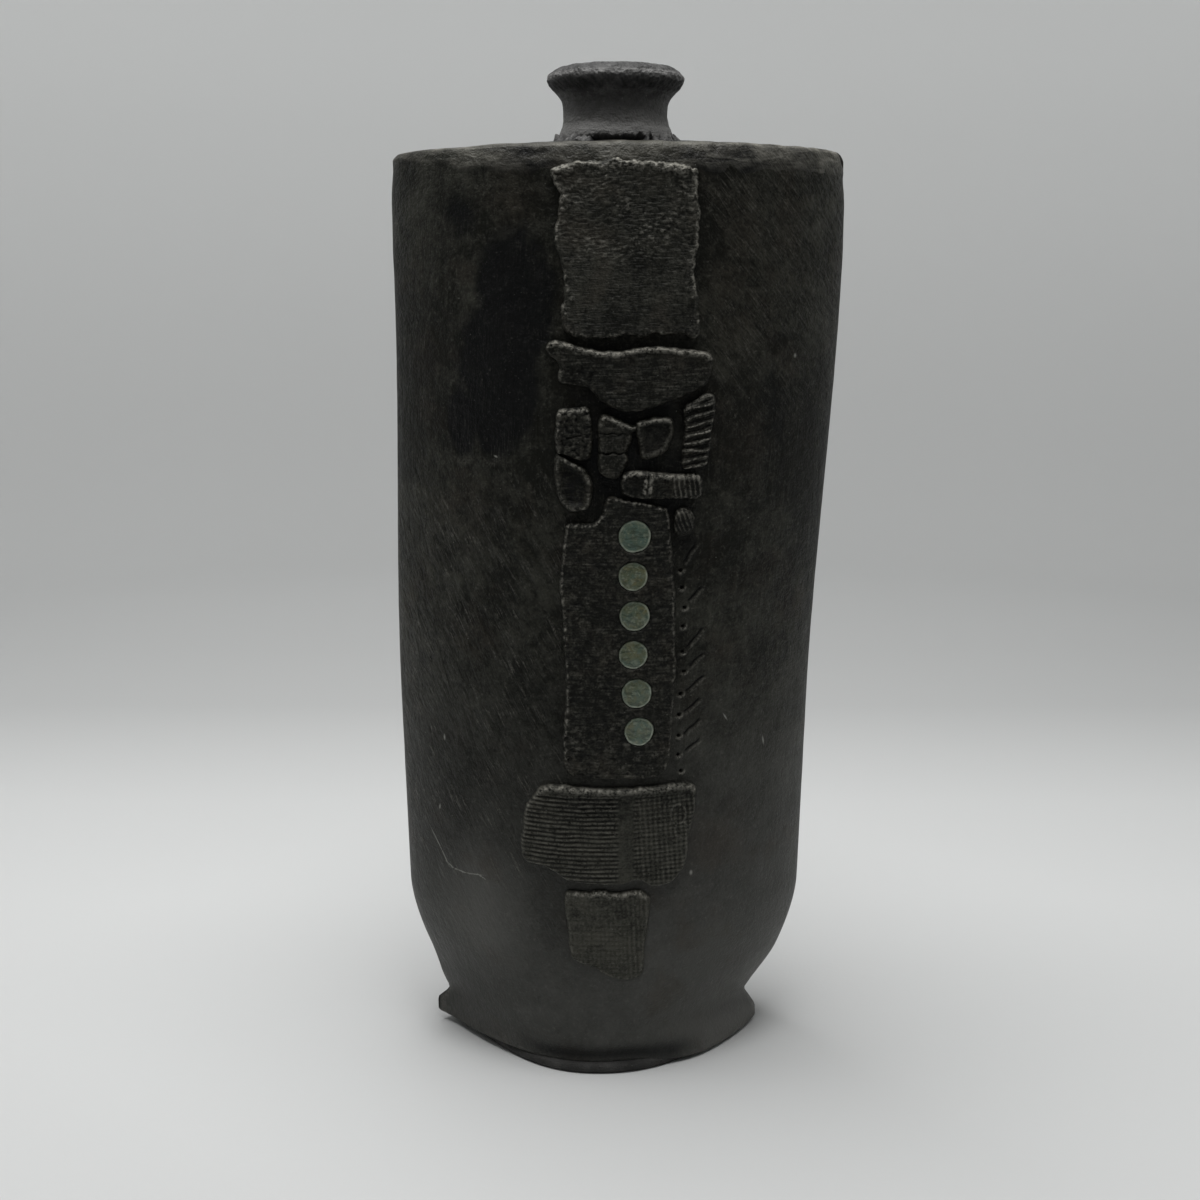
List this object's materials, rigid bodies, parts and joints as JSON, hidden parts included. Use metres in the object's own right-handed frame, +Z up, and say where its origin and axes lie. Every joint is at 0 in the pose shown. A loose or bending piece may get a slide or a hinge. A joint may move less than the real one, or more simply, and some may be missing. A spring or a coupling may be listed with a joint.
{
  "type": "bottle vase",
  "caption": "Tall flattened slab-built bottle vase in smoked black clay with a small flared neck, applied clay patches down the front and a row of stamped glaze dots.",
  "frame": {"origin": "centre of the base slab's underside, on the surface the vase stands on", "axes": "+Z up, -Y towards the decorated front, +X to the right seen from the front"},
  "size_m": [0.1593, 0.0906, 0.353],
  "materials": {
    "smoked_clay": "burnished, dull satin, smoke-blackened",
    "bare_clay": "matt, finely granular",
    "patch_clay": "matt, torn, combed and cloth-printed",
    "inner_clay": "matt, unfinished inside",
    "dot_glaze": "pooled satin glaze"
  },
  "bodies": {
    "root": {"front_slab": "smoked_clay", "back_slab": "smoked_clay", "shoulder_slab": "smoked_clay", "base_slab": "bare_clay", "neck": "bare_clay", "neck_collar": "bare_clay", "left_seam_coil": "inner_clay", "right_seam_coil": "inner_clay", "base_seam_coil": "inner_clay", "upper_patch": "patch_clay", "boat_band": "patch_clay", "tile_upper_left": "patch_clay", "tile_lower_left": "patch_clay", "tile_centre": "patch_clay", "tile_square": "patch_clay", "tile_ribbed": "patch_clay", "ribbed_bar": "patch_clay", "pellet": "patch_clay", "notched_panel": "patch_clay", "combed_band": "patch_clay", "lower_tab": "patch_clay", "glaze_dot_1": "dot_glaze", "glaze_dot_2": "dot_glaze", "glaze_dot_3": "dot_glaze", "glaze_dot_4": "dot_glaze", "glaze_dot_5": "dot_glaze", "glaze_dot_6": "dot_glaze"}
  },
  "joints": []
}
